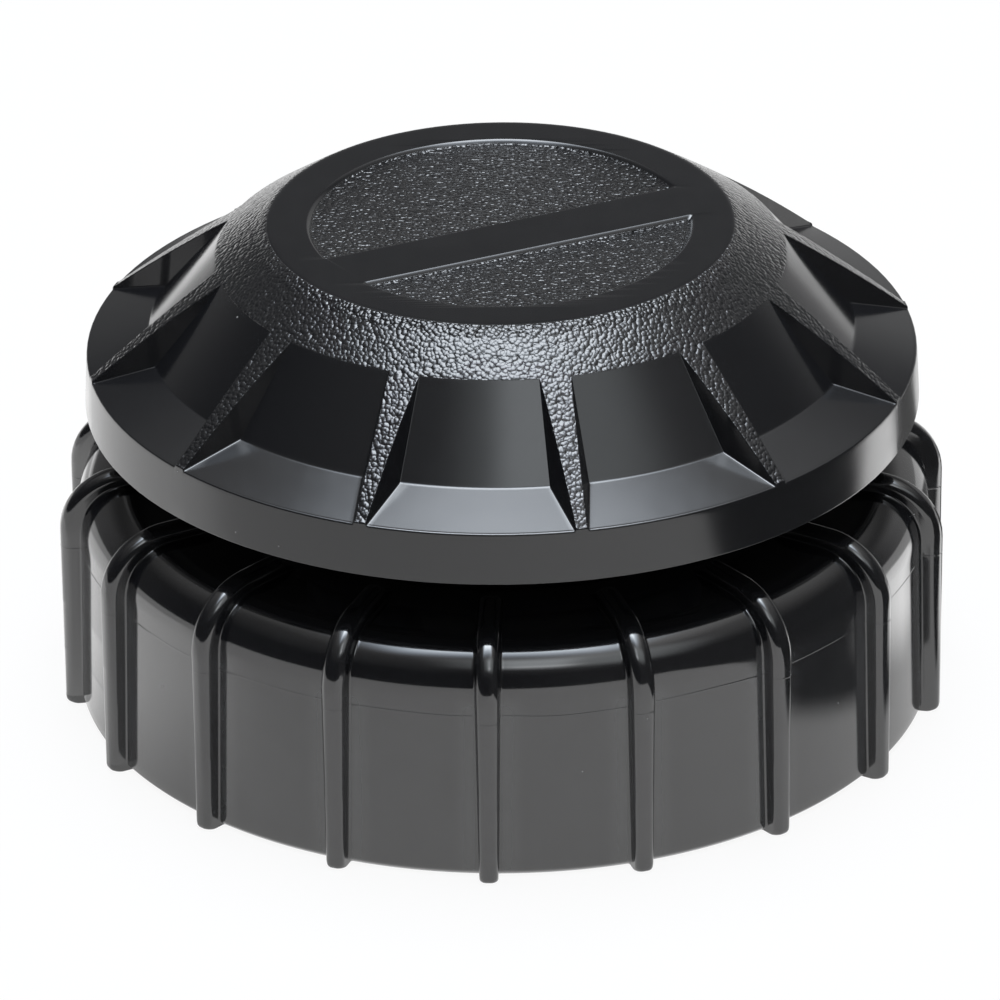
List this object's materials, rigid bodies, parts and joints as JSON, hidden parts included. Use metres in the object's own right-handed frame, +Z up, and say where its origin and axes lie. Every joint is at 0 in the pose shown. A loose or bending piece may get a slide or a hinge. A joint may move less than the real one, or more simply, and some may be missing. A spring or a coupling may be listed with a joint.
{
  "type": "vented top of an anti-siphon valve",
  "caption": "Vented hood over a ribbed screw collar, with a bonnet, air port and float inside: the top of an anti-siphon valve.",
  "frame": {"origin": "on the axis, in the plane of the collar's open rim, which the part stands on", "axes": "+Z up along the axis of the collar and hood, from the open rim to the hood's top; -Y is the side that the picture shows"},
  "size_m": [0.0618, 0.0624, 0.035],
  "materials": {
    "gloss_black_plastic": "glossy black moulded plastic",
    "satin_black_plastic": "satin black moulded plastic with pebbled grain on the dome and tongues",
    "bonnet_plastic": "plain black moulded plastic",
    "float_plastic": "natural off-white moulded plastic",
    "seal_rubber": "matt black rubber",
    "stainless_steel": "plain stainless steel"
  },
  "bodies": {
    "screw_collar": {"collar": "gloss_black_plastic"},
    "vented_bonnet": {"bonnet": "bonnet_plastic", "hood": "satin_black_plastic", "hood_screw_1": "stainless_steel", "hood_screw_2": "stainless_steel", "hood_screw_3": "stainless_steel", "hood_screw_4": "stainless_steel", "body_o_ring": "seal_rubber"},
    "float_group": {"float": "float_plastic", "float_seal": "seal_rubber", "seal_retainer": "float_plastic", "stem_clip": "stainless_steel"}
  },
  "joints": [
    {"name": "collar_spin", "type": "hinge", "parent": "screw_collar", "child": "vented_bonnet", "pos_m": [0, 0, 0.0132], "axis": [0, 0, 1], "continuous": true},
    {"name": "float_lift", "type": "slide", "parent": "vented_bonnet", "child": "float_group", "axis": [0, 0, 1], "range_m": [0, 0.004]}
  ]
}
